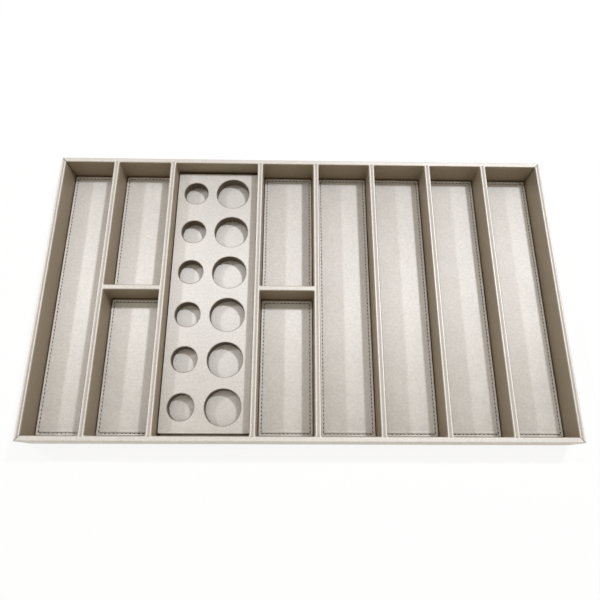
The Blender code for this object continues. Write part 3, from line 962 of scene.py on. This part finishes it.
def add_pierced_plate(rack, name, material, node, side, top, bottom, lip):
    """A plate with lipped sockets, whose side goes from its top's edge to its bottom's."""
    points, faces, wear_and_highlight, grime_and_shade = [], [], [], []

    def add_ring(ring, height, wear_and_highlight_amount=0.0, dirt_and_shade=0.0):
        first = len(points)
        for x, y in ring:
            point = rack.middle + Vector((x, y, height))
            if height == top:
                sag(point)
            points.append(point)
            wear_and_highlight.append(wear_and_highlight_amount)
            grime_and_shade.append(dirt_and_shade)
        return first

    around = 4 * CELL_STEPS
    for inset, height, upper in ((side[0][0], top, True), (side[-1][0], bottom, False)):
        for centre, radius, corners in rack.cells(inset):
            angles = socket_angles(centre, corners)
            edge = [rack.rounded(x, y) for x, y in cell_edge(corners)]
            lip_ring = circle(centre, radius + (lip if upper else 0.0), angles)
            # The lip and the wall of each socket: dark cut edge with painted shade
            first = add_ring(lip_ring, height, dirt_and_shade=LIP_EDGE_AND_SHADE)
            for share in PLATE_RINGS:
                second = add_ring([part_way(a, b, share) for a, b in zip(lip_ring, edge)], height)
                faces += strip_faces(first, second, around, True)
                first = second
            if not upper:
                continue
            drop = arc((radius + lip, top - lip), lip, 90, 180, LIP_STEPS)
            first = add_ring(circle(centre, drop[0][0], angles), top, dirt_and_shade=LIP_EDGE_AND_SHADE)
            for wide, drop_height in [*drop[1:], (radius, bottom)]:
                second = add_ring(circle(centre, wide, angles), drop_height, dirt_and_shade=LIP_EDGE_AND_SHADE)
                faces += strip_faces(first, second, around, True)
                first = second
    first = add_ring(rack.rim(side[0][0]), top)
    rim_count = len(points) - first
    for inset, height in side[1:]:
        # Wear and painted highlight on the rack's rounded top edge
        wear_and_highlight_amount = EDGE_WEAR_AND_HIGHLIGHT if top - RACK_ARRIS < height < top else 0.0
        second = add_ring(rack.rim(inset), height, wear_and_highlight_amount)
        faces += strip_faces(first, second, rim_count, True)
        first = second
    add_piece(name, points, faces, material, "bottle_insert", [node], wear_and_highlight, grime_and_shade)


def add_rack(leather, core):
    rack = Rack()
    bottom = rack.low.z
    top = rack.high.z
    edge = arc((RACK_ARRIS, top - RACK_ARRIS), RACK_ARRIS, 90, 180, ARRIS_STEPS)
    skirt = [(0.0, bottom + CUT_EDGE), (CUT_EDGE, bottom), (WRAP, bottom), (WRAP, top - WRAP)]
    add_pierced_plate(
        rack, "rack_wrap", leather, "bottle_insert_cover",
        edge + skirt, top, top - WRAP, SOCKET_LIP,
    )
    core_top = top - WRAP - FIT
    inset = WRAP + FIT
    add_pierced_plate(
        rack, "rack_core", core, "bottle_insert_board",
        [(inset, core_top), (inset, bottom)], core_top, bottom, CORE_LIP,
    )


# Felt backing


def add_felt(material):
    """The felt under the base: a thin sheet with soft edges and rounded corners."""
    low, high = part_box("backing_felt")
    _, _, half_x, half_y = plan_of(low, high)
    count_x, count_y = round(2 * half_x / FELT_STEP), round(2 * half_y / FELT_STEP)
    lower = arc((0, low.z + FELT_ROUND), FELT_ROUND, -90, 0, LIP_STEPS)
    upper = arc((0, high.z - FELT_ROUND), FELT_ROUND, 0, 90, LIP_STEPS)
    edge = [(FELT_ROUND - x, z) for x, z in lower + upper]
    profile = [(FELT_BAND, low.z), *edge, (FELT_BAND, high.z)]

    def shares(half, count):
        steps = range(FELT_CORNER_STEPS + 1)
        corner = [FELT_CORNER * step / FELT_CORNER_STEPS / (2 * half) for step in steps]
        middle = [between(corner[-1], 1 - corner[-1], step / count) for step in range(1, count)]
        return corner + middle + [1 - share for share in reversed(corner)]

    shares_x, shares_y = shares(half_x, count_x), shares(half_y, count_y)
    points, faces = [], []
    for inset, height in profile:
        for x, y, _ in mat_ring(shares_x, shares_y, half_x, half_y, inset):
            x, y = rounded_corner(x, y, half_x, half_y, FELT_CORNER)
            points.append(Vector((x, y, height)))
    around = len(points) // len(profile)
    for row in range(len(profile) - 1):
        faces += strip_faces(around * row, around * (row + 1), around, True)
    faces.append(tuple(range(around)))
    faces.append(tuple(around * (len(profile) - 1) + index for index in reversed(range(around))))
    add_piece("felt_backing", points, faces, material, "tray", ["backing_felt"])


# Floor, lamps and camera


def seen_directly(tree):
    """1 on rays that show the background itself: to the camera, in gloss and through glass."""
    path = add_node(tree, "ShaderNodeLightPath")
    either = math_node(tree, "MAXIMUM", path.outputs["Is Camera Ray"], path.outputs["Is Glossy Ray"])
    return math_node(tree, "MAXIMUM", either, path.outputs["Is Transmission Ray"])


def add_floor():
    """A pale floor that looks white to the camera and keeps a faint shadow."""
    mesh = bpy.data.meshes.new("floor")
    half = FLOOR_SIZE / 2
    corners = [(-half, -half, -FIT), (half, -half, -FIT), (half, half, -FIT), (-half, half, -FIT)]
    mesh.from_pydata(corners, [], [(0, 1, 2, 3)])
    floor = bpy.data.objects.new("floor", mesh)
    bpy.context.scene.collection.objects.link(floor)
    material, tree, shader = new_material("pale_floor")
    shader.inputs["Base Color"].default_value = (*FLOOR_COLOUR, 1)
    shader.inputs["Roughness"].default_value = FLOOR_ROUGHNESS
    glow = add_node(tree, "ShaderNodeEmission", Strength=1.0)
    both = tree.nodes.new("ShaderNodeMixShader")
    tree.links.new(math_node(tree, "MULTIPLY", seen_directly(tree), FLOOR_GLOW), both.inputs[0])
    tree.links.new(shader.outputs[0], both.inputs[1])
    tree.links.new(glow.outputs[0], both.inputs[2])
    tree.links.new(both.outputs[0], tree.nodes["Material Output"].inputs["Surface"])
    mesh.materials.append(material)


def add_world():
    """A studio: a white backdrop all round, a dim brown wall over it and a bright warm ceiling."""
    world = bpy.data.worlds.new("studio")
    world.use_nodes = True
    tree = world.node_tree
    way = add_node(tree, "ShaderNodeTexCoord").outputs["Generated"]
    height = add_node(tree, "ShaderNodeSeparateXYZ", Vector=way).outputs["Z"]
    low = ranged(tree, height, 0.0, 1.0, BACKDROP_END, WALL_START)
    high = ranged(tree, height, 0.0, 1.0, CEILING_START, CEILING_FULL)
    colour = mixed(tree, low, (*BACKDROP_COLOUR, 1), (*WALL_COLOUR, 1))
    colour = mixed(tree, high, colour, (*CEILING_COLOUR, 1))
    tree.links.new(colour, tree.nodes["Background"].inputs["Color"])
    bpy.context.scene.world = world


def add_lamp(name, place, size, power):
    light = bpy.data.lights.new(name, "AREA")
    light.shape = "DISK"
    light.size = size
    light.energy = power
    light.color = LAMP_COLOUR
    lamp = bpy.data.objects.new(name, light)
    lamp.location = place
    lamp.rotation_euler = (-Vector(place)).to_track_quat("-Z", "Y").to_euler()
    bpy.context.scene.collection.objects.link(lamp)


def add_camera():
    data = bpy.data.cameras.new("camera")
    data.lens = CAMERA_LENS
    data.sensor_width = CAMERA_SENSOR
    camera = bpy.data.objects.new("camera", data)
    turned = Matrix.Identity(4)
    for turn, axis in zip(CAMERA_TURNS, "ZXZ"):
        turned = turned @ Matrix.Rotation(math.radians(turn), 4, axis)
    camera.matrix_world = Matrix.Translation(CAMERA_PLACE) @ turned
    bpy.context.scene.collection.objects.link(camera)
    bpy.context.scene.camera = camera


def finish_boards(board):
    """Gives the boards that stay CAD nodes their material."""
    for name, node in frame["nodes"].items():
        if name.endswith("_board") and not node.hide_render:
            node.data.materials.clear()
            node.data.materials.append(board)


frame_leather = leatherette("frame_leatherette", *FRAME_FINISH)
mat_leather = leatherette("mat_leatherette", *PADDED_FINISH)
rack_leather = leatherette("rack_leatherette", *PADDED_FINISH)
add_wraps(frame_leather)
add_mats(mat_leather, twisted_thread("seam_thread"))
add_rack(rack_leather, fibreboard("rack_board", RACK_CORE_COLOUR_AND_SHADE, *RACK_CORE_FINISH))
add_felt(felt("backing_felt"))
finish_boards(fibreboard("core_board", BOARD_COLOUR_AND_SHADE, *BOARD_FINISH))

add_floor()
add_world()
add_lamp("right_lamp", *RIGHT_LAMP)
add_lamp("left_lamp", *LEFT_LAMP)
add_camera()

view = bpy.context.scene.view_settings
view.view_transform = "Standard"
